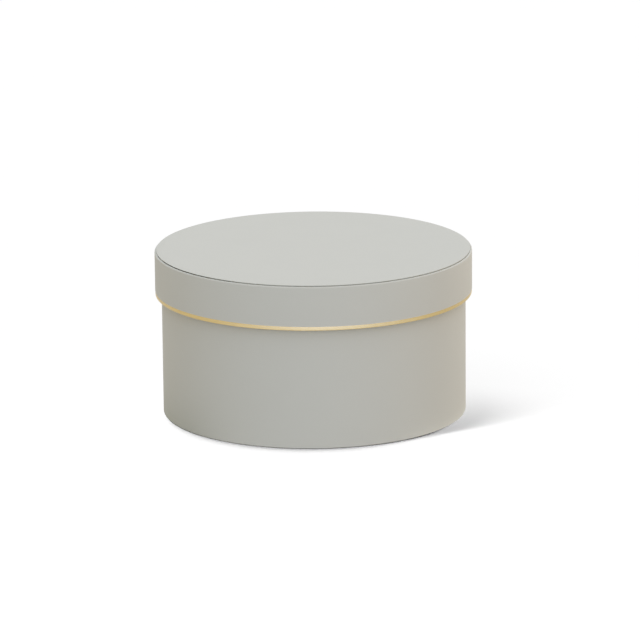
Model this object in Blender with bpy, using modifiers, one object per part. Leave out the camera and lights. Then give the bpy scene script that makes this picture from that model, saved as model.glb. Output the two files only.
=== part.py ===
"""Round flower box: a paper-covered greyboard base with a lid that slides down over it.

Metres, +Z up. The box stands on the ground with its lid on. Its axis is the Z axis, and the origin is
on the ground. Pieces that touch on the real box are modelled CONTACT_GAP apart.
"""

import math

import bpy
from mathutils import Vector

# The closed box
LID_DIAMETER = 0.2200
BOX_HEIGHT = 0.1150
LID_DEPTH = 0.0312

# Sheet materials: one weight of paper covers, lines and edges the whole box
PAPER = 0.0003
PANEL_CARD = 0.0005
LID_BOARD = 0.0020
BASE_WALL_BOARD = 0.0018
BASE_FLOOR_BOARD = 0.0020

# How the lid fits: its play all round over the base, and the gap between pieces that touch
LID_PLAY = 0.0013
CONTACT_GAP = 0.0003

# Lid details: lengths of turned paper are measured from the face where the fold starts
LID_RIM_ROUNDING = 0.0010
LID_TURN_OVER = 0.0120
PANEL_SETBACK = 0.0002
GOLD_BAND = 0.0022
GOLD_EDGE_ROUNDING = 0.0010
GOLD_TURN_IN = 0.0080

# Base details
BASE_RIM_ROUNDING = 0.0009
BASE_FOOT_ROUNDING = 0.0009
BASE_TURN_IN = 0.0150
BASE_TURN_UNDER = 0.0120
UNDERSIDE_INSET = 0.0030

# Facets round the box, facets in a quarter-round edge, and how mesh points are merged
FACETS = 80
ARC_FACETS = 2
MERGE_DISTANCE = 0.00001
SMOOTH_BELOW = math.radians(30)

# A sheet glued on a board holds the board this far back from the sheet's outer face
COVERED = PAPER + CONTACT_GAP

# Radii of the lid, from the outside in
LID_RADIUS = LID_DIAMETER / 2
PANEL_RADIUS = LID_RADIUS - LID_RIM_ROUNDING - PANEL_SETBACK
HOOP_OUTER = LID_RADIUS - COVERED
HOOP_INNER = HOOP_OUTER - LID_BOARD
LID_BORE = HOOP_INNER - COVERED

# Radii of the base, from the outside in
BASE_RADIUS = LID_BORE - LID_PLAY
TUBE_OUTER = BASE_RADIUS - COVERED
TUBE_INNER = TUBE_OUTER - BASE_WALL_BOARD
BASE_BORE = TUBE_INNER - COVERED

# Heights in the lid, from its lower edge
COVER_TOP = LID_DEPTH - PANEL_CARD - CONTACT_GAP
HOOP_TOP = COVER_TOP - COVERED
LID_DISC_UNDERSIDE = HOOP_TOP - LID_BOARD
LID_CEILING = LID_DISC_UNDERSIDE - COVERED

# Heights in the base, from the ground
LID_SEAT = BOX_HEIGHT - LID_DEPTH
BASE_RIM = LID_SEAT + LID_CEILING - CONTACT_GAP
TURNED_UNDER = PAPER + CONTACT_GAP
TUBE_FOOT = TURNED_UNDER + COVERED
FLOOR_BOARD_TOP = TUBE_FOOT + BASE_FLOOR_BOARD

# Finishes: colour as red, green and blue of 255 on a screen, then roughness and metallic
COVER_FINISH = ((203, 204, 197), 0.80, 0.0)
LINING_FINISH = ((232, 230, 222), 0.85, 0.0)
GOLD_FINISH = ((214, 180, 116), 0.35, 0.9)
BOARD_FINISH = ((150, 143, 132), 0.95, 0.0)


def linear(channel):
    """A screen colour channel of 255 as the linear value that a shader takes."""
    share = channel / 255
    return share / 12.92 if share <= 0.04045 else ((share + 0.055) / 1.055) ** 2.4


def finish(obj, look):
    """Gives the piece a material of its own and smooth shading up to its edges."""
    colour, roughness, metallic = look
    material = bpy.data.materials.new(obj.name + "_finish")
    material.use_nodes = True
    shader = material.node_tree.nodes["Principled BSDF"]
    shader.inputs["Base Color"].default_value = (*map(linear, colour), 1)
    shader.inputs["Roughness"].default_value = roughness
    shader.inputs["Metallic"].default_value = metallic
    obj.data.materials.clear()
    obj.data.materials.append(material)
    obj.data.shade_smooth()
    obj.data.set_sharp_from_angle(angle=SMOOTH_BELOW)


def place(obj, assembly):
    """Puts the piece in the box's collection, carried by its assembly."""
    for home in list(obj.users_collection):
        home.objects.unlink(obj)
    box.objects.link(obj)
    obj.parent = assembly


def quarter_round(before, corner, after, rounding):
    """Points of the quarter circle that takes the place of a square corner."""
    back = (before - corner).normalized()
    ahead = (after - corner).normalized()
    centre = corner + rounding * (back + ahead)
    turns = [math.pi / 2 * step / ARC_FACETS for step in range(ARC_FACETS + 1)]
    return [centre - rounding * (math.cos(t) * ahead + math.sin(t) * back) for t in turns]


def outline(corners):
    """The profile through square corners, each given as (distance from the axis, height, rounding)."""
    at = [Vector((distance, 0, height)) for distance, height, _ in corners]
    points = []
    for i, (_, _, rounding) in enumerate(corners):
        if rounding > 0:
            points += quarter_round(at[i - 1], at[i], at[(i + 1) % len(at)], rounding)
        else:
            points.append(at[i])
    return points


def turned(name, corners, look, assembly, sheet=None):
    """Turns a profile round the Z axis. It runs down the piece's outer side.

    With no sheet the profile is closed, and is the section of a solid board. With one it is the open line
    of the sheet's outer face, and the sheet's thickness is added behind it.
    """
    points = outline(corners)
    edges = [(i, i + 1) for i in range(len(points) - 1)]
    if sheet is None:
        edges.append((len(points) - 1, 0))
    profile = bpy.data.meshes.new(name)
    profile.from_pydata(points, edges, [])
    piece = bpy.data.objects.new(name, profile)
    place(piece, assembly)

    turn = piece.modifiers.new("turn", "SCREW")
    turn.axis = "Z"
    turn.angle = math.tau
    turn.steps = FACETS
    turn.render_steps = FACETS
    turn.use_merge_vertices = True
    turn.merge_threshold = MERGE_DISTANCE
    if sheet is not None:
        thicken = piece.modifiers.new("thicken", "SOLIDIFY")
        thicken.thickness = sheet
        thicken.offset = -1
        thicken.use_even_offset = True

    ready = piece.evaluated_get(bpy.context.evaluated_depsgraph_get())
    piece.data = bpy.data.meshes.new_from_object(ready)
    piece.modifiers.clear()
    bpy.data.meshes.remove(profile)
    piece.data.name = name
    finish(piece, look)
    return piece


def disc(name, radius, underside, thickness, look, assembly):
    """A round flat sheet or board, centred on the Z axis."""
    bpy.ops.mesh.primitive_cylinder_add(vertices=FACETS, radius=radius, depth=thickness)
    piece = bpy.context.object
    piece.name = name
    piece.data.name = name
    piece.location = (0, 0, underside + thickness / 2)
    place(piece, assembly)
    finish(piece, look)
    return piece


def assembly_at(name, height):
    """An empty on the box's axis, which carries the pieces that move together."""
    empty = bpy.data.objects.new(name, None)
    empty.location = (0, 0, height)
    box.objects.link(empty)
    return empty


def build_base(base):
    """Six pieces, with heights from the ground."""
    # Rolled greyboard wall: its rim and foot are eased so that the paper folds round them
    eased_rim = BASE_RIM_ROUNDING - COVERED
    eased_foot = BASE_FOOT_ROUNDING - COVERED
    turned(
        "base_tube",
        [
            (TUBE_OUTER, BASE_RIM - COVERED, eased_rim),
            (TUBE_OUTER, TUBE_FOOT, eased_foot),
            (TUBE_INNER, TUBE_FOOT, 0),
            (TUBE_INNER, BASE_RIM - COVERED, eased_rim),
        ],
        BOARD_FINISH,
        base,
    )
    floor_radius = TUBE_INNER - CONTACT_GAP
    disc("base_disc", floor_radius, TUBE_FOOT, BASE_FLOOR_BOARD, BOARD_FINISH, base)

    # Cover paper: up the inside of the rim, over it, down the wall and under the floor
    turn_in_end = BASE_RIM - BASE_TURN_IN
    turned(
        "base_wrap",
        [
            (BASE_BORE, turn_in_end, 0),
            (BASE_BORE, BASE_RIM, BASE_RIM_ROUNDING),
            (BASE_RADIUS, BASE_RIM, BASE_RIM_ROUNDING),
            (BASE_RADIUS, TURNED_UNDER, BASE_FOOT_ROUNDING),
            (BASE_RADIUS - BASE_TURN_UNDER, TURNED_UNDER, 0),
        ],
        COVER_FINISH,
        base,
        sheet=PAPER,
    )
    disc("base_underside_paper", BASE_RADIUS - UNDERSIDE_INSET, 0, PAPER, COVER_FINISH, base)

    # Lining papers: the wall's starts on the floor board and ends below the turned-in cover paper
    lining_foot = FLOOR_BOARD_TOP + CONTACT_GAP
    turned(
        "base_wall_lining",
        [(BASE_BORE, lining_foot, 0), (BASE_BORE, turn_in_end - CONTACT_GAP, 0)],
        LINING_FINISH,
        base,
        sheet=PAPER,
    )
    lining_radius = BASE_BORE - CONTACT_GAP
    disc("base_floor_lining", lining_radius, lining_foot, PAPER, LINING_FINISH, base)


def build_lid(lid):
    """Seven pieces, with heights from the lid's lower edge."""
    # Rolled greyboard hoop: its outer edges are eased under the cover paper and the gold paper
    hoop_foot = COVERED
    turned(
        "lid_hoop",
        [
            (HOOP_OUTER, HOOP_TOP, LID_RIM_ROUNDING - COVERED),
            (HOOP_OUTER, hoop_foot, GOLD_EDGE_ROUNDING - COVERED),
            (HOOP_INNER, hoop_foot, 0),
            (HOOP_INNER, HOOP_TOP, 0),
        ],
        BOARD_FINISH,
        lid,
    )
    disc_radius = HOOP_INNER - CONTACT_GAP
    disc("lid_disc", disc_radius, LID_DISC_UNDERSIDE, LID_BOARD, BOARD_FINISH, lid)

    # Cover paper: over the disc's border and down the side to the gold band
    turned(
        "lid_side_wrap",
        [
            (LID_RADIUS - LID_TURN_OVER, COVER_TOP, 0),
            (LID_RADIUS, COVER_TOP, LID_RIM_ROUNDING),
            (LID_RADIUS, GOLD_BAND + CONTACT_GAP, 0),
        ],
        COVER_FINISH,
        lid,
        sheet=PAPER,
    )
    disc("lid_top_panel", PANEL_RADIUS, COVER_TOP + CONTACT_GAP, PANEL_CARD, COVER_FINISH, lid)

    # Gold paper: flush with the cover paper outside, round the lower edge and up the inside
    turned(
        "gold_edge",
        [
            (LID_RADIUS, GOLD_BAND, 0),
            (LID_RADIUS, 0, GOLD_EDGE_ROUNDING),
            (LID_BORE, 0, 0),
            (LID_BORE, GOLD_TURN_IN, 0),
        ],
        GOLD_FINISH,
        lid,
        sheet=PAPER,
    )

    # Lining papers: the wall's starts above the gold paper and ends at the disc
    turned(
        "lid_wall_lining",
        [
            (LID_BORE, GOLD_TURN_IN + CONTACT_GAP, 0),
            (LID_BORE, LID_DISC_UNDERSIDE - CONTACT_GAP, 0),
        ],
        LINING_FINISH,
        lid,
        sheet=PAPER,
    )
    disc("lid_ceiling_lining", LID_BORE - CONTACT_GAP, LID_CEILING, PAPER, LINING_FINISH, lid)


for leftover in list(bpy.data.objects):
    bpy.data.objects.remove(leftover, do_unlink=True)

box = bpy.data.collections.new("round_flower_box")
bpy.context.scene.collection.children.link(box)
build_base(assembly_at("base", 0))
build_lid(assembly_at("lid", LID_SEAT))
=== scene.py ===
"""Looks of the round flower box: a paper-covered greyboard base with a lid that slides down over it.

Metres, +Z up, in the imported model's frame: the box stands on z 0 and its axis is the Z axis. The file
follows the box as it is put together, from the base's boards to the panel on the lid, then the studio.
"""

import math

import bpy
from mathutils import Matrix, Vector


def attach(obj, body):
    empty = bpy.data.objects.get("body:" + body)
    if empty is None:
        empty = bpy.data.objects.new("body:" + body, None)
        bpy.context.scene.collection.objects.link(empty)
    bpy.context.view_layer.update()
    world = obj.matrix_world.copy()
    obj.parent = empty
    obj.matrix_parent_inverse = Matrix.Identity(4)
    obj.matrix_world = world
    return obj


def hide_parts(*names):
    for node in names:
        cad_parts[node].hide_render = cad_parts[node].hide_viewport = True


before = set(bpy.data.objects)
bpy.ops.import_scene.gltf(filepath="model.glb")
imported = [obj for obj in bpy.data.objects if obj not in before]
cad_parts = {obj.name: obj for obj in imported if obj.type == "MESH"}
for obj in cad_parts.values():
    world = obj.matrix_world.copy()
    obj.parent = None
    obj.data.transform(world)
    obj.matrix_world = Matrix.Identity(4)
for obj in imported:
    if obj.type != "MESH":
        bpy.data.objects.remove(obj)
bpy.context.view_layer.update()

# The base's boards: a wall rolled from grey recycled board, and a floor disc glued inside its foot.
# They give the box its shape and stay hidden under the papers.

BOARD_GREY = (150, 143, 132)
BOARD_PALE_FIBRE = (188, 182, 170)
BOARD_DARK_FIBRE = (96, 88, 78)
BOARD_CLOUDS_PER_METRE = 60
BOARD_FIBRES_PER_METRE = 1400
BOARD_SHADES = (0.88, 1.12)
PALE_FLECKS_PER_METRE = 900
PALE_FLECKS_START = (0.60, 0.68)
DARK_FLECKS_PER_METRE = 520
DARK_FLECKS_START = (0.66, 0.72)


def socket_named(sockets, name):
    """The socket of that name or number, among those that the node's settings leave in use."""
    if isinstance(name, int):
        return sockets[name]
    return next(socket for socket in sockets if socket.name == name and socket.enabled)


class Wire:
    """What leaves a node. Sums written with it add Math nodes."""

    def __init__(self, nodes, socket):
        self.nodes = nodes
        self.socket = socket

    def other(self, name):
        """Another output of the same node."""
        return Wire(self.nodes, socket_named(self.socket.node.outputs, name))

    def __add__(self, other):
        return self.nodes.maths("ADD", self, other)

    def __sub__(self, other):
        return self.nodes.maths("SUBTRACT", self, other)

    def __rsub__(self, other):
        return self.nodes.maths("SUBTRACT", other, self)

    def __mul__(self, other):
        return self.nodes.maths("MULTIPLY", self, other)

    def __truediv__(self, other):
        return self.nodes.maths("DIVIDE", self, other)

    def __pow__(self, power):
        return self.nodes.maths("POWER", self, power)

    __radd__ = __add__
    __rmul__ = __mul__


class Nodes:
    """Adds nodes to a tree."""

    def __init__(self, tree):
        self.tree = tree

    def add(self, kind, settings=None, sockets=None, output=0):
        """A node with its settings made first, and then its sockets' values or wires."""
        node = self.tree.nodes.new(kind)
        for name, value in (settings or {}).items():
            setattr(node, name, value)
        for name, value in (sockets or {}).items():
            socket = socket_named(node.inputs, name)
            if isinstance(value, Wire):
                self.tree.links.new(value.socket, socket)
            else:
                socket.default_value = value
        return Wire(self, socket_named(node.outputs, output)) if node.outputs else None

    def maths(self, operation, *values):
        return self.add("ShaderNodeMath", {"operation": operation}, dict(enumerate(values)))

    def vector(self, operation, *values):
        return self.add("ShaderNodeVectorMath", {"operation": operation}, dict(enumerate(values)))

    def noise(self, place, scale, detail=2.0, roughness=0.5):
        """A cloud pattern from 0 to 1, with scale patches to the metre."""
        sockets = {"Vector": place, "Scale": scale, "Detail": detail, "Roughness": roughness}
        return self.add("ShaderNodeTexNoise", {}, sockets)

    def between(self, low, high, amount):
        """One colour at amount 0, another at 1."""
        sockets = {"Factor": amount, "A": low, "B": high}
        return self.add("ShaderNodeMix", {"data_type": "RGBA"}, sockets, "Result")

    def step(self, value, low, high):
        """A smooth step from 0 to 1 as the value goes from low to high."""
        sockets = {"Value": value, "From Min": low, "From Max": high}
        return self.add("ShaderNodeMapRange", {"interpolation_type": "SMOOTHSTEP"}, sockets)


def linear(colour, share=1.0):
    """A screen colour, as red, green and blue of 255, as a shader takes it, and that share as bright."""
    parts = [channel / 255 for channel in colour]
    parts = [part / 12.92 if part <= 0.04045 else ((part + 0.055) / 1.055) ** 2.4 for part in parts]
    return (*[part * share for part in parts], 1.0)


class Finish(Nodes):
    """A new material: its nodes, its shader and where a point lies on the box."""

    def __init__(self, name):
        self.material = bpy.data.materials.new(name)
        self.material.use_nodes = True
        super().__init__(self.material.node_tree)
        self.shader = self.tree.nodes["Principled BSDF"]
        self.place = self.add("ShaderNodeTexCoord").other("Object")

    def set(self, **values):
        """Values or wires for the shader's sockets, named with _ for a space."""
        for name, value in values.items():
            socket = self.shader.inputs[name.replace("_", " ").title().replace("Ior", "IOR")]
            if isinstance(value, Wire):
                self.tree.links.new(value.socket, socket)
            else:
                socket.default_value = value

    def relief(self, height, depth, strength):
        """Normals for a height of 0 to 1 that is that depth in metres."""
        sockets = {"Strength": strength, "Distance": depth, "Height": height}
        return self.add("ShaderNodeBump", {}, sockets)


greyboard = Finish("greyboard_finish")
board_cloud = greyboard.noise(greyboard.place, BOARD_CLOUDS_PER_METRE, detail=3)
board_fibre = greyboard.noise(greyboard.place, BOARD_FIBRES_PER_METRE, detail=4, roughness=0.65)
pale_noise = greyboard.noise(greyboard.place, PALE_FLECKS_PER_METRE, detail=1)
pale_flecks = greyboard.step(pale_noise, *PALE_FLECKS_START)
dark_noise = greyboard.noise(greyboard.place, DARK_FLECKS_PER_METRE, detail=1)
dark_flecks = greyboard.step(dark_noise, *DARK_FLECKS_START)
board_shades = [linear(BOARD_GREY, share) for share in BOARD_SHADES]
board_colour = greyboard.between(*board_shades, board_cloud * 0.4 + board_fibre * 0.6)
board_colour = greyboard.between(board_colour, linear(BOARD_PALE_FIBRE), pale_flecks * 0.6)
board_colour = greyboard.between(board_colour, linear(BOARD_DARK_FIBRE), dark_flecks * 0.7)
greyboard.set(
    base_color=board_colour,
    roughness=0.88 + board_fibre * 0.1,
    normal=greyboard.relief(board_fibre, depth=0.00006, strength=0.6),
)


def board(node):
    """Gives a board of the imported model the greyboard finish."""
    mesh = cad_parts[node].data
    mesh.materials.clear()
    mesh.materials.append(greyboard.material)


board("base_tube")
board("base_disc")

# The base's cover paper: one pale warm-grey uncoated sheet, rolled round the wall and lapped at the
# back. It is turned in over the rim, and under the foot, where it gathers in small pleats.

COVER_GREY = (203, 204, 197)
PAPER_CORE = (214, 212, 204)
PAPER_CLOUDS_PER_METRE = 34
PAPER_FIBRES_PER_METRE = 1500
PAPER_TOOTH_PER_METRE = 4200
PAPER = 0.00014
GLUE = 0.00002
BASE_RADIUS = 0.1055
BASE_BORE = 0.1025
BASE_RIM = 0.1107
BASE_RIM_FOLD = 0.0009
BASE_TURNED_IN_TO = 0.0957
BASE_RIM_PLEATS_FROM = 0.1038
BASE_FOOT = 0.00018
BASE_FOOT_FOLD = 0.0006
BASE_FOOT_PLEATS_FROM = 0.1040
BASE_FOOT_PLEATS_FULL = 0.1024
BASE_TURNED_UNDER_TO = 0.0935
BASE_PLEATS = 78.0
BASE_PLEAT_DEPTH = 0.00014
BASE_LAP = 0.010
BASE_SEAM_AT = math.radians(118)
COVER_COLUMNS = 640
LAP_CLIMB = 0.004
WAVER_GROWS = (0.02, 0.09)
WAVER_WAVES = 2.2
PLEAT_SPACING_WAVES = 9.0
PLEAT_SPACING_WANDERS = 3
PLEAT_DEPTH_WAVES = 14.0
PLEAT_DEPTH_LEAST = 0.35
WELD = 0.00001
SHARP_FROM = math.radians(40)

# The rule for every sheet and disc: a profile, given as a mesh of corners, is rounded at its folds and
# turned about the box's axis. A turn of more than one round climbs on its own start, as a lap does.
rolled_sheet = bpy.data.node_groups.new("rolled_sheet", "GeometryNodeTree")
for socket_name, socket_kind in (
    ("Profile", "Geometry"),
    ("Columns", "Int"),
    ("Fold steps", "Int"),
    ("Start", "Float"),
    ("Turn", "Float"),
    ("Climb", "Float"),
    ("Lift", "Float"),
    ("Waver", "Float"),
    ("Pleats", "Float"),
    ("Pleat depth", "Float"),
    ("Seed", "Float"),
    ("Finish", "Material"),
):
    rolled_sheet.interface.new_socket(
        name=socket_name, in_out="INPUT", socket_type="NodeSocket" + socket_kind
    )
rolled_sheet.interface.new_socket(name="Sheet", in_out="OUTPUT", socket_type="NodeSocketGeometry")

sheet = Nodes(rolled_sheet)
given = sheet.add("NodeGroupInput")
rounding = sheet.add("GeometryNodeInputNamedAttribute", {"data_type": "FLOAT"}, {"Name": "rounding"})
gather = sheet.add("GeometryNodeInputNamedAttribute", {"data_type": "FLOAT"}, {"Name": "gather"})
folded = sheet.add(
    "GeometryNodeFilletCurve",
    {"mode": "POLY"},
    {
        "Curve": sheet.add("GeometryNodeMeshToCurve", {}, {"Mesh": given}),
        "Count": given.other("Fold steps"),
        "Radius": rounding,
    },
)
profile_size = sheet.add("GeometryNodeAttributeDomainSize", {"component": "CURVE"}, {"Geometry": folded})
rows = profile_size.other("Point Count")
columns = given.other("Columns")
grid = sheet.add("GeometryNodeMeshGrid", {}, {"Vertices X": columns + 1, "Vertices Y": rows})
number = sheet.add("GeometryNodeInputIndex")
row = sheet.add("FunctionNodeIntegerMath", {"operation": "MODULO"}, {0: number, 1: rows})
column = sheet.add("FunctionNodeIntegerMath", {"operation": "DIVIDE_FLOOR"}, {0: number, 1: rows})
on_profile = sheet.add(
    "GeometryNodeSampleIndex",
    {"data_type": "FLOAT_VECTOR", "domain": "POINT"},
    {"Geometry": folded, "Value": sheet.add("GeometryNodeInputPosition"), "Index": row},
)
gathered = sheet.add(
    "GeometryNodeSampleIndex",
    {"data_type": "FLOAT", "domain": "POINT"},
    {"Geometry": folded, "Value": gather, "Index": row},
)
profile_point = sheet.add("ShaderNodeSeparateXYZ", {}, {0: on_profile})
turned = given.other("Turn") * column / columns
angle = turned + given.other("Start")
ahead = sheet.add(
    "ShaderNodeCombineXYZ", {}, {0: sheet.maths("COSINE", angle), 1: sheet.maths("SINE", angle)}
)
seeded = sheet.vector("ADD", ahead, sheet.add("ShaderNodeCombineXYZ", {}, {2: given.other("Seed")}))
wobble = (sheet.noise(seeded, WAVER_WAVES, detail=3) - 0.5) * 2
distance = profile_point + given.other("Waver") * wobble * sheet.step(profile_point, *WAVER_GROWS)
ring = sheet.add("ShaderNodeVectorMath", {"operation": "SCALE"}, {0: ahead, "Scale": distance})
spun = sheet.add("ShaderNodeSeparateXYZ", {}, {0: ring})
laid = sheet.add(
    "GeometryNodeSetPosition",
    {},
    {
        "Geometry": grid,
        "Position": sheet.add(
            "ShaderNodeCombineXYZ", {}, {0: spun, 1: spun.other("Y"), 2: profile_point.other("Z")}
        ),
    },
)
outward = sheet.add("GeometryNodeFlipFaces", {}, {"Mesh": laid})
climbing = sheet.step(turned, math.tau - given.other("Climb"), math.tau) * given.other("Lift")
uneven = sheet.noise(seeded, PLEAT_SPACING_WAVES, detail=2) * PLEAT_SPACING_WANDERS
pleat_phase = turned * given.other("Pleats") / math.tau + uneven
crease = sheet.maths("ABSOLUTE", sheet.maths("FRACT", pleat_phase) - 0.5) * 2
pleat_share = PLEAT_DEPTH_LEAST + sheet.noise(seeded, PLEAT_DEPTH_WAVES, detail=1)
pleat = crease ** 3 * gathered * given.other("Pleat depth") * pleat_share
raised = sheet.add(
    "GeometryNodeSetPosition",
    {},
    {
        "Geometry": outward,
        "Offset": sheet.add(
            "ShaderNodeVectorMath",
            {"operation": "SCALE"},
            {0: sheet.add("GeometryNodeInputNormal"), "Scale": climbing - pleat},
        ),
    },
)
closed = sheet.add("GeometryNodeMergeByDistance", {}, {"Geometry": raised, "Distance": WELD})
whole = sheet.add("GeometryNodeRealizeInstances", {}, {"Geometry": closed})
finished = sheet.add(
    "GeometryNodeSetMaterial", {}, {"Geometry": whole, "Material": given.other("Finish")}
)
sheet.add("NodeGroupOutput", {}, {0: finished})


def made_plain(piece):
    """Gives the piece the mesh that its modifiers make, and takes them off."""
    earlier = piece.data
    ready = piece.evaluated_get(bpy.context.evaluated_depsgraph_get())
    piece.data = bpy.data.meshes.new_from_object(ready)
    piece.modifiers.clear()
    bpy.data.meshes.remove(earlier)
    piece.data.name = piece.name


def turned_piece(name, corners, finish, edge_finish=None, thickness=0.0, **sizes):
    """A piece turned from a profile of (distance from the axis, height, rounding, gather) corners.

    A sheet's profile is the line of its outer face, and it has a thickness, whose cut edge takes the
    edge finish. A disc's is its closed section, from axis to axis. The sizes are the rule's inputs.
    """
    profile = bpy.data.meshes.new(name)
    profile.from_pydata(
        [(distance, 0, height) for distance, height, _, _ in corners],
        [(i, i + 1) for i in range(len(corners) - 1)],
        [],
    )
    for which, attribute in ((2, "rounding"), (3, "gather")):
        values = profile.attributes.new(attribute, "FLOAT", "POINT").data
        values.foreach_set("value", [corner[which] for corner in corners])
    piece = bpy.data.objects.new(name, profile)
    bpy.context.scene.collection.objects.link(piece)

    roll = piece.modifiers.new("roll", "NODES")
    roll.node_group = rolled_sheet
    inputs = {
        "columns": 256,
        "fold_steps": 6,
        "start": 0.0,
        "turn": math.tau,
        "climb": 0.03,
        "lift": 0.0,
        "waver": 0.0,
        "pleats": 0.0,
        "pleat_depth": 0.0,
        "seed": 0.0,
    }
    inputs.update(sizes)
    for socket in rolled_sheet.interface.items_tree:
        key = socket.name.lower().replace(" ", "_")
        if socket.in_out == "INPUT" and key in inputs:
            roll[socket.identifier] = inputs[key]
        elif socket.name == "Finish":
            roll[socket.identifier] = finish.material
    made_plain(piece)
    finishes = [finish] if edge_finish is None else [finish, edge_finish]
    piece.data.materials.clear()
    for each in finishes:
        piece.data.materials.append(each.material)
    if thickness:
        wall = piece.modifiers.new("wall", "SOLIDIFY")
        wall.thickness = thickness
        wall.offset = -1
        wall.use_even_offset = True
        wall.material_offset_rim = len(finishes) - 1
        made_plain(piece)
    piece.data.shade_smooth()
    piece.data.set_sharp_from_angle(angle=SHARP_FROM)
    return piece


def lapped(radius, lap, seam_at, sheet_thickness):
    """The rule's inputs for a sheet of that radius that laps over its own start."""
    return {
        "start": seam_at,
        "turn": math.tau + lap / radius,
        "climb": LAP_CLIMB / radius,
        "lift": sheet_thickness + GLUE,
    }


def paper_finish(name, colour, mottle, fibre_shade, depth, roughness, seed):
    """Uncoated paper: soft clouds of density, and short fibres that catch the light."""
    paper = Finish(name)
    moved = paper.add("ShaderNodeMapping", {}, {"Vector": paper.place, "Location": (seed, 0, 0)})
    cloud = paper.noise(moved, PAPER_CLOUDS_PER_METRE, detail=3)
    fibre = paper.noise(moved, PAPER_FIBRES_PER_METRE, detail=3, roughness=0.6)
    tooth = paper.noise(moved, PAPER_TOOTH_PER_METRE, detail=2)
    tone = (cloud - 0.5) * (2 * mottle) + (fibre - 0.5) * (2 * fibre_shade)
    spread = mottle + fibre_shade
    paper.set(
        base_color=paper.between(
            linear(colour, 1 - 2 * spread), linear(colour, 1 + 2 * spread), 0.5 + tone / (4 * spread)
        ),
        roughness=roughness + (fibre - 0.5) * 0.1,
        specular_ior_level=0.22,
        normal=paper.relief(fibre * 0.7 + tooth * 0.3, depth, strength=0.5),
    )
    return paper


cover_paper = paper_finish(
    "cover_paper_finish",
    COVER_GREY,
    mottle=0.012,
    fibre_shade=0.03,
    depth=0.00003,
    roughness=0.78,
    seed=0.0,
)
cut_paper = paper_finish(
    "cut_paper_finish",
    PAPER_CORE,
    mottle=0.01,
    fibre_shade=0.06,
    depth=0.00004,
    roughness=0.9,
    seed=0.5,
)

base_cover = turned_piece(
    "base_cover",
    [
        (BASE_BORE, BASE_TURNED_IN_TO, 0, 1.0),
        (BASE_BORE, BASE_RIM_PLEATS_FROM, 0, 0.6),
        (BASE_BORE, BASE_RIM, BASE_RIM_FOLD, 0),
        (BASE_RADIUS, BASE_RIM, BASE_RIM_FOLD, 0),
        (BASE_RADIUS, BASE_FOOT, BASE_FOOT_FOLD, 0),
        (BASE_FOOT_PLEATS_FROM, BASE_FOOT, 0, 0.4),
        (BASE_FOOT_PLEATS_FULL, BASE_FOOT, 0, 1.0),
        (BASE_TURNED_UNDER_TO, BASE_FOOT, 0, 1.0),
    ],
    cover_paper,
    cut_paper,
    PAPER,
    columns=COVER_COLUMNS,
    pleats=BASE_PLEATS,
    pleat_depth=BASE_PLEAT_DEPTH,
    seed=3.0,
    **lapped(BASE_RADIUS, BASE_LAP, BASE_SEAM_AT, PAPER),
)
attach(base_cover, "base")
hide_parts("base_wrap")

# The underside sheet: a disc of the same grey paper, pasted over the base cover's turned-under edge.
# The box stands on it.

UNDERSIDE_RADIUS = 0.1025
UNDERSIDE_TOP = 0.00016
UNDERSIDE_ROUNDING = 0.00006
UNDERSIDE_WAVER = 0.0001
DISC_FOLD_STEPS = 2


def disc_section(radius, underside, top, rounding, upper_rounding=None):
    """The closed section of a flat disc, with rings on its faces so that no facet is a long sliver."""
    upper = rounding if upper_rounding is None else upper_rounding
    rings = (0.0, 0.35, 0.65, 0.85, 0.95)
    section = [(radius * ring, top, 0, 0) for ring in rings]
    section += [(radius, top, upper, 0), (radius, underside, rounding, 0)]
    section += [(radius * ring, underside, 0, 0) for ring in reversed(rings)]
    return section


underside_sheet = turned_piece(
    "base_underside_sheet",
    disc_section(UNDERSIDE_RADIUS, 0.0, UNDERSIDE_TOP, UNDERSIDE_ROUNDING),
    cover_paper,
    fold_steps=DISC_FOLD_STEPS,
    waver=UNDERSIDE_WAVER,
    seed=5.0,
)
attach(underside_sheet, "base")
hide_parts("base_underside_paper")

# The base's lining: off-white paper pasted round the inside of the wall, over the turned-in cover
# paper, and a disc of it on the floor.

LINING_WHITE = (232, 230, 222)
LINING_COLUMNS = 384
LINING_TURNED = 0.006
LINING_FOLD = 0.0004
LINING_LAP = 0.008
LINING_DISC_ROUNDING = 0.00005
LINING_DISC_WAVER = 0.00015
BASE_LINING_BORE = 0.1021
BASE_LINING_TOP = 0.0987
BASE_LINING_FOOT = 0.0034
BASE_LINING_PLEATS = 60.0
BASE_LINING_PLEAT_DEPTH = 0.00005
BASE_LINING_SEAM_AT = math.radians(74)
FLOOR_LINING_RADIUS = 0.1018
FLOOR_LINING_UNDERSIDE = 0.00358
FLOOR_LINING_TOP = 0.0038

lining_paper = paper_finish(
    "lining_paper_finish",
    LINING_WHITE,
    mottle=0.01,
    fibre_shade=0.025,
    depth=0.00004,
    roughness=0.85,
    seed=1.0,
)

base_wall_liner = turned_piece(
    "base_wall_liner",
    [
        (BASE_LINING_BORE - LINING_TURNED, BASE_LINING_FOOT, 0, 1.0),
        (BASE_LINING_BORE, BASE_LINING_FOOT, LINING_FOLD, 0),
        (BASE_LINING_BORE, BASE_LINING_TOP, 0, 0),
    ],
    lining_paper,
    cut_paper,
    PAPER,
    columns=LINING_COLUMNS,
    pleats=BASE_LINING_PLEATS,
    pleat_depth=BASE_LINING_PLEAT_DEPTH,
    seed=7.0,
    **lapped(BASE_LINING_BORE, LINING_LAP, BASE_LINING_SEAM_AT, PAPER),
)
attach(base_wall_liner, "base")
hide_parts("base_wall_lining")

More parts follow.
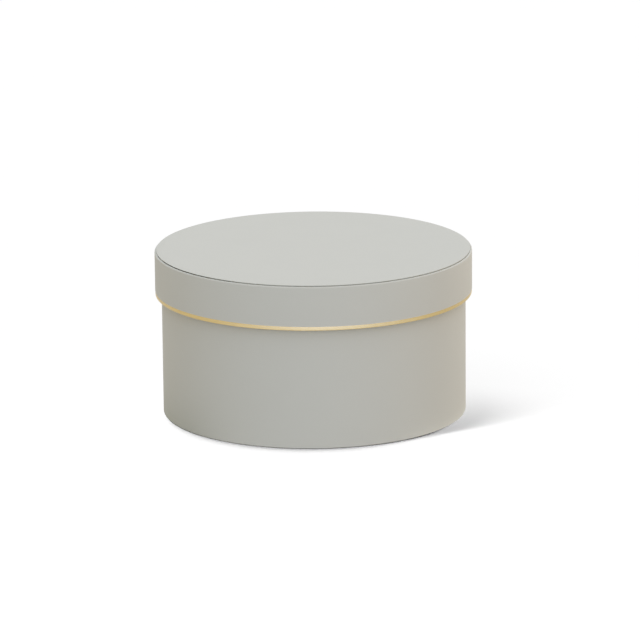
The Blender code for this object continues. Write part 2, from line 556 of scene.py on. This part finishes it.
base_floor_liner = turned_piece(
    "base_floor_liner",
    disc_section(FLOOR_LINING_RADIUS, FLOOR_LINING_UNDERSIDE, FLOOR_LINING_TOP, LINING_DISC_ROUNDING),
    lining_paper,
    fold_steps=DISC_FOLD_STEPS,
    waver=LINING_DISC_WAVER,
    seed=9.0,
)
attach(base_floor_liner, "base")
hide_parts("base_floor_lining")

# The lid's boards: a hoop rolled from the same greyboard, and a disc glued inside its upper end. The
# papers cover them all round.

board("lid_hoop")
board("lid_disc")

# The gold line: a strip of gold foil paper folded round the hoop's lower edge. It shows outside as a
# narrow band below the cover paper, and runs up the inside as far as the lid's lining.

FOIL_GOLD = (190, 166, 108)
FOIL_CRINKLES_PER_METRE = 260
FOIL_GRAINS_PER_METRE = 1800
FOIL = 0.00008
FOIL_RADIUS = 0.10984
FOIL_TOP = 0.0874
FOIL_OUTER_FOLD = 0.0005
FOIL_INNER_FOLD = 0.0004
FOIL_PLEATS_FROM = 0.0878
FOIL_TURNED_IN_TO = 0.0918
FOIL_PLEATS = 96.0
FOIL_PLEAT_DEPTH = 0.00006
FOIL_COLUMNS = 512
FOIL_LAP = 0.006
FOIL_SEAM_AT = math.radians(40)
LID_FOOT = 0.0838
LID_BORE = 0.1068

gold_foil = Finish("gold_foil_finish")
foil_crinkle = gold_foil.noise(gold_foil.place, FOIL_CRINKLES_PER_METRE, detail=3, roughness=0.55)
foil_grain = gold_foil.noise(gold_foil.place, FOIL_GRAINS_PER_METRE, detail=2)
gold_foil.set(
    base_color=gold_foil.between(linear(FOIL_GOLD, 0.94), linear(FOIL_GOLD, 1.06), foil_crinkle),
    metallic=1.0,
    roughness=0.36 + foil_grain * 0.10,
    normal=gold_foil.relief(foil_crinkle * 0.8 + foil_grain * 0.2, depth=0.00008, strength=0.35),
)

gold_trim = turned_piece(
    "lid_gold_trim",
    [
        (FOIL_RADIUS, FOIL_TOP, 0, 0),
        (FOIL_RADIUS, LID_FOOT, FOIL_OUTER_FOLD, 0),
        (LID_BORE, LID_FOOT, FOIL_INNER_FOLD, 0),
        (LID_BORE, FOIL_PLEATS_FROM, 0, 0.5),
        (LID_BORE, FOIL_TURNED_IN_TO, 0, 1.0),
    ],
    gold_foil,
    cut_paper,
    FOIL,
    columns=FOIL_COLUMNS,
    pleats=FOIL_PLEATS,
    pleat_depth=FOIL_PLEAT_DEPTH,
    seed=11.0,
    **lapped(FOIL_RADIUS, FOIL_LAP, FOIL_SEAM_AT, FOIL),
)
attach(gold_trim, "lid")
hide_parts("gold_edge")

# The lid's cover paper: a strip of the grey paper round the hoop, lapped at the back and turned over the
# rim onto the disc. Its lower edge is cut straight and lies on the gold paper.

LID_RADIUS = 0.1100
LID_COVER_TOP = 0.1142
LID_COVER_FOOT = 0.0866
LID_RIM_FOLD = 0.0010
LID_PLEATS_FROM = 0.1086
LID_PLEATS_FULL = 0.1060
LID_TURNED_OVER_TO = 0.0980
LID_PLEATS = 84.0
LID_PLEAT_DEPTH = 0.00012
LID_LAP = 0.009
LID_SEAM_AT = math.radians(60)

lid_side_cover = turned_piece(
    "lid_side_cover",
    [
        (LID_TURNED_OVER_TO, LID_COVER_TOP, 0, 1.0),
        (LID_PLEATS_FULL, LID_COVER_TOP, 0, 0.8),
        (LID_PLEATS_FROM, LID_COVER_TOP, 0, 0.25),
        (LID_RADIUS, LID_COVER_TOP, LID_RIM_FOLD, 0),
        (LID_RADIUS, LID_COVER_FOOT, 0, 0),
    ],
    cover_paper,
    cut_paper,
    PAPER,
    columns=COVER_COLUMNS,
    pleats=LID_PLEATS,
    pleat_depth=LID_PLEAT_DEPTH,
    seed=13.0,
    **lapped(LID_RADIUS, LID_LAP, LID_SEAM_AT, PAPER),
)
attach(lid_side_cover, "lid")
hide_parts("lid_side_wrap")

# The lid's lining: off-white paper pasted inside the hoop, over the gold paper's upper edge, and a disc
# of it under the top.

LID_LINING_BORE = 0.1065
LID_LINING_FOOT = 0.0903
LID_LINING_TOP = 0.1110
LID_LINING_TURNED_AT = 0.1114
LID_LINING_SEAM_AT = math.radians(130)
CEILING_LINING_RADIUS = 0.1062
CEILING_LINING_UNDERSIDE = 0.1110
CEILING_LINING_TOP = 0.1112

lid_wall_liner = turned_piece(
    "lid_wall_liner",
    [
        (LID_LINING_BORE, LID_LINING_FOOT, 0, 0),
        (LID_LINING_BORE, LID_LINING_TOP, LINING_FOLD, 0),
        (LID_LINING_BORE - LINING_TURNED, LID_LINING_TURNED_AT, 0, 1.0),
    ],
    lining_paper,
    cut_paper,
    PAPER,
    columns=LINING_COLUMNS,
    seed=15.0,
    **lapped(LID_LINING_BORE, LINING_LAP, LID_LINING_SEAM_AT, PAPER),
)
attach(lid_wall_liner, "lid")
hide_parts("lid_wall_lining")

lid_ceiling_liner = turned_piece(
    "lid_ceiling_liner",
    disc_section(CEILING_LINING_RADIUS, CEILING_LINING_UNDERSIDE, CEILING_LINING_TOP, LINING_DISC_ROUNDING),
    lining_paper,
    fold_steps=DISC_FOLD_STEPS,
    waver=LINING_DISC_WAVER,
    seed=17.0,
)
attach(lid_ceiling_liner, "lid")
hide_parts("lid_ceiling_lining")

# The lid's top panel: a disc of paper-faced grey card glued on the turned-over paper, a millimetre
# smaller than the lid. Its cut edge shows the card's pale core as a thin line inside the rim. Along the
# left of the front that line is dark with painted shade, which stands in for the shade of the gap under the
# panel.

CORE_IN_PAINTED_SHADE = (83, 84, 78)
CARD_CORE_PALE = (176, 178, 170)
CORE_CLOUDS_PER_METRE = 90
CORE_FIBRES_PER_METRE = 2200
PAINTED_SHADE_STARTS = (-0.108, -0.096)
PAINTED_SHADE_ENDS = (-0.101, -0.03)
PAINTED_SHADE_WANDERS = 0.06
CORE_SHADES = (0.85, 1.15)
PANEL_RADIUS = 0.1088
PANEL_TOP = 0.11499
PANEL_UNDERSIDE = 0.1144
PANEL_ROUNDING = 0.00004
PANEL_RIM_ROUNDING = 0.00015
PANEL_COLUMNS = 512
PANEL_FOLD_STEPS = 3
PANEL_WAVER = 0.00008
PANEL_FACES_UP_FROM = 0.3

card_edge = Finish("card_edge_finish")
core_tone = card_edge.noise(card_edge.place, CORE_CLOUDS_PER_METRE, detail=3)
core_fibre = card_edge.noise(card_edge.place, CORE_FIBRES_PER_METRE, detail=3)
# Painted shade: along the left of the front the core's pale colour is swapped for a dark one, for the gap's
# shade.
along_rim = card_edge.add("ShaderNodeSeparateXYZ", {}, {0: card_edge.place})
along_rim = along_rim + (core_tone - 0.5) * PAINTED_SHADE_WANDERS
painted_shade_part = card_edge.step(along_rim, *PAINTED_SHADE_STARTS) * (1 - card_edge.step(along_rim, *PAINTED_SHADE_ENDS))
core_and_painted_shade = card_edge.between(linear(CARD_CORE_PALE), linear(CORE_IN_PAINTED_SHADE), painted_shade_part)
core_shade = card_edge.between(*[(shade, shade, shade, 1) for shade in CORE_SHADES], core_fibre)
card_edge.set(
    base_color=card_edge.add(
        "ShaderNodeMix",
        {"data_type": "RGBA", "blend_type": "MULTIPLY", "clamp_result": False},
        {"Factor": 1.0, "A": core_and_painted_shade, "B": core_shade},
        "Result",
    ),
    roughness=0.92,
    specular_ior_level=0.2,
    normal=card_edge.relief(core_fibre, depth=0.00005, strength=0.5),
)

lid_panel = turned_piece(
    "lid_panel",
    disc_section(PANEL_RADIUS, PANEL_UNDERSIDE, PANEL_TOP, PANEL_ROUNDING, PANEL_RIM_ROUNDING),
    cover_paper,
    card_edge,
    columns=PANEL_COLUMNS,
    fold_steps=PANEL_FOLD_STEPS,
    waver=PANEL_WAVER,
    seed=19.0,
)
for face in lid_panel.data.polygons:
    face.material_index = int(face.normal.z < PANEL_FACES_UP_FROM)
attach(lid_panel, "lid")
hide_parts("lid_top_panel")

# The floor: a plain white sweep that keeps the box's shadow. The camera and mirrors see it lit, and for
# soft light it is a plain pale ground. Towards the back and right it is white by itself, so that the
# shadow fades there.

FLOOR_HALF = 4.0
FLOOR_LEVEL = -0.00005
FLOOR_SHARE = 0.04
FLOOR_GLOW = 0.02
FLOOR_BOUNCE = (0.54, 0.55, 0.55, 1.0)
FOOT_BOUNCE = (0.27, 0.31, 0.29, 1.0)
FOOT_BOUNCE_ENDS = (0.115, 0.145)
FOOT_BOUNCE_STARTS_LEFT = (0.05, 0.10)
EDGE_BOUNCE = (0.80, 0.80, 0.78, 1.0)
EDGE_BOUNCE_ENDS = (0.108, 0.114)
EDGE_BOUNCE_STARTS_RIGHT = (0.05, 0.085)
SHADOW_FULL_AT = -0.039
SHADOW_FADED_AT = 0.099
SHADOW_FADES_BY = 0.89
SHADOW_FADES_RIGHT = 0.33
WHITE = (1, 1, 1, 1)

floor_mesh = bpy.data.meshes.new("floor")
floor_mesh.from_pydata(
    [(x * FLOOR_HALF, y * FLOOR_HALF, FLOOR_LEVEL) for x, y in ((-1, -1), (1, -1), (1, 1), (-1, 1))],
    [],
    [(0, 1, 2, 3)],
)
floor = bpy.data.objects.new("floor", floor_mesh)
bpy.context.scene.collection.objects.link(floor)
floor_look = Finish("floor_finish")


def looked_at(nodes):
    """1 for what the camera, a mirror or glass looks at, and 0 for soft light."""
    path = nodes.add("ShaderNodeLightPath")
    mirrored = nodes.maths("MAXIMUM", path.other("Is Glossy Ray"), path.other("Is Transmission Ray"))
    return nodes.maths("MAXIMUM", path, mirrored)


def glowing(colour, strength=1.0):
    """A ground that gives light by itself."""
    return floor_look.add("ShaderNodeEmission", {}, {"Color": colour, "Strength": strength})


def either(first, second, amount):
    """One ground at amount 0, another at 1."""
    return floor_look.add("ShaderNodeMixShader", {}, {0: amount, 1: first, 2: second})


shaded = floor_look.add("ShaderNodeBsdfDiffuse", {}, {"Color": (FLOOR_SHARE, FLOOR_SHARE, FLOOR_SHARE, 1)})
lit_ground = floor_look.add("ShaderNodeAddShader", {}, {0: shaded, 1: glowing(WHITE, FLOOR_GLOW)})
to_the_right = floor_look.add("ShaderNodeSeparateXYZ", {}, {0: floor_look.place})
away = to_the_right.other("Y") + to_the_right * SHADOW_FADES_RIGHT
faded = floor_look.step(away, SHADOW_FULL_AT, SHADOW_FADED_AT) * SHADOW_FADES_BY
seen_ground = either(lit_ground, glowing(WHITE), faded)

from_axis = floor_look.vector("LENGTH", floor_look.place).other("Value")
by_the_foot = 1 - floor_look.step(from_axis, *FOOT_BOUNCE_ENDS)
at_the_left = floor_look.step(to_the_right * -1, *FOOT_BOUNCE_STARTS_LEFT)
bounce = either(glowing(FLOOR_BOUNCE), glowing(FOOT_BOUNCE), by_the_foot * at_the_left)
by_the_edge = 1 - floor_look.step(from_axis, *EDGE_BOUNCE_ENDS)
at_the_right = floor_look.step(to_the_right, *EDGE_BOUNCE_STARTS_RIGHT)
bounce = either(bounce, glowing(EDGE_BOUNCE), by_the_edge * at_the_right)

floor_shader = either(bounce, seen_ground, looked_at(floor_look))
floor_surface = floor_look.tree.nodes["Material Output"].inputs["Surface"]
floor_look.tree.links.new(floor_shader.socket, floor_surface)
floor_look.tree.nodes.remove(floor_look.shader)
floor_mesh.materials.append(floor_look.material)

# The lamps. A tall strip at the front left throws the long shadow, and a low one behind, which only the
# base's floor blocks, darkens a band before the foot: both light only the floor. Two lamps behind give the
# covers a pale rim, and a soft bluish one in front makes the gold paler there.


def group(name, pieces):
    """A collection for what a lamp lights, or for what stands in its way."""
    together = bpy.data.collections.new(name)
    for piece in pieces:
        together.objects.link(piece)
    return together


def sun(name, azimuth, elevation, angle, strength):
    """A distant lamp, with its angles in degrees and its azimuth from +X towards +Y, to where it stands."""
    lamp = bpy.data.lights.new(name, "SUN")
    lamp.energy = strength
    lamp.angle = math.radians(angle)
    holder = bpy.data.objects.new(name, lamp)
    across, up = math.radians(azimuth), math.radians(elevation)
    towards = Vector((math.cos(across), math.sin(across), 0))
    towards = towards * math.cos(up) + Vector((0, 0, math.sin(up)))
    holder.rotation_mode = "QUATERNION"
    holder.rotation_quaternion = towards.to_track_quat("Z", "Y")
    bpy.context.scene.collection.objects.link(holder)
    return holder


def strip(name, azimuth, elevations, angle, share, lean=0.0, blocked_by=None):
    """Distant lamps one above the other, which together give that share of the floor's light.

    With a lean above 0 the higher ones give more of it than the lower ones.
    """
    for number, elevation in enumerate(elevations):
        part = (1 + lean * (2 * number / (len(elevations) - 1) - 1)) / len(elevations)
        floor_light = math.pi * share * part / FLOOR_SHARE
        fall = math.sin(math.radians(elevation))
        lamp = sun(f"{name}_{number}", azimuth, elevation, angle, floor_light / fall)
        lamp.light_linking.receiver_collection = floor_only
        if blocked_by is not None:
            lamp.light_linking.blocker_collection = blocked_by


floor_only = group("floor_only", [floor])
base_floor_only = group("base_floor_only", [base_floor_liner])
strip("key_strip", azimuth=214.8, elevations=range(50, 83, 4), angle=2, share=0.47, lean=0.2)
strip(
    "back_strip",
    azimuth=81.5,
    elevations=range(16, 33, 4),
    angle=12,
    share=0.51,
    blocked_by=base_floor_only,
)

sides_only = group("sides_only", [base_cover, lid_side_cover, gold_trim])
for name, azimuth, strength in (("rim_right", 52, 0.17), ("rim_left", 125, 0.07)):
    rim = sun(name, azimuth, elevation=5, angle=10, strength=math.pi * strength)
    rim.light_linking.receiver_collection = sides_only

GLINT_COLOUR = (0.24, 0.36, 1.0)
GLINT = 4.2
glint = sun("front_glint", azimuth=277, elevation=-10, angle=80, strength=math.pi * GLINT)
glint.data.color = GLINT_COLOUR
gold_only = group("gold_only", [gold_trim])
glint.light_linking.receiver_collection = gold_only
glint.light_linking.blocker_collection = gold_only

# The studio round the box: pale above and round about, warmer and darker at the right, and dim at the
# left. What looks at it, or mirrors it, sees it white.

SKY_ABOVE = (1.17, 1.28, 1.43, 1)
SKY_ABOVE_STARTS = (0.35, 0.9)
SKY_AROUND = (1.08, 1.13, 1.26, 1)
SKY_RIGHT = (0.86, 0.61, 0.35, 1)
SKY_LEFT = (0.42, 0.26, 0.04, 1)
SKY_SIDES_START = (0.2, 0.95)

world = bpy.data.worlds.new("studio")
bpy.context.scene.world = world
world.use_nodes = True
surroundings = Nodes(world.node_tree)
direction = surroundings.add("ShaderNodeSeparateXYZ", {}, {0: surroundings.add("ShaderNodeTexCoord")})
overhead = surroundings.step(direction.other("Z"), *SKY_ABOVE_STARTS)
sky = surroundings.between(SKY_AROUND, SKY_ABOVE, overhead)
sky = surroundings.between(sky, SKY_RIGHT, surroundings.step(direction, *SKY_SIDES_START))
sky = surroundings.between(sky, SKY_LEFT, surroundings.step(direction * -1, *SKY_SIDES_START))
sky = surroundings.between(sky, WHITE, looked_at(surroundings))
background = world.node_tree.nodes["Background"]
background.inputs["Strength"].default_value = 1.0
world.node_tree.links.new(sky.socket, background.inputs["Color"])

# The camera, as the photograph was taken: from the front and 3.4 m away, about 15 degrees above the
# floor, and turned by half a degree about its own line of sight.

CAMERA_TARGET = Vector((0, 0, 0.0575))
CAMERA_DISTANCE = 3.410
CAMERA_ELEVATION = math.radians(14.599)
CAMERA_ROLL = math.radians(-0.544)
CAMERA_LENS_MM = 275.6
CAMERA_SENSOR_MM = 36
CAMERA_SHIFT = (0.009375, 0.01198)
CAMERA_SEES = (0.05, 50)

camera_data = bpy.data.cameras.new("camera")
camera_data.lens = CAMERA_LENS_MM
camera_data.sensor_width = CAMERA_SENSOR_MM
camera_data.shift_x, camera_data.shift_y = CAMERA_SHIFT
camera_data.clip_start, camera_data.clip_end = CAMERA_SEES
camera = bpy.data.objects.new("camera", camera_data)
camera_back = Vector((0, -math.cos(CAMERA_ELEVATION), math.sin(CAMERA_ELEVATION)))
aim = camera_back.to_track_quat("Z", "Y").to_matrix().to_4x4()
camera_place = Matrix.Translation(CAMERA_TARGET + camera_back * CAMERA_DISTANCE)
camera.matrix_world = camera_place @ aim @ Matrix.Rotation(CAMERA_ROLL, 4, "Z")
bpy.context.scene.collection.objects.link(camera)
bpy.context.scene.camera = camera
bpy.context.scene.view_settings.view_transform = "Standard"
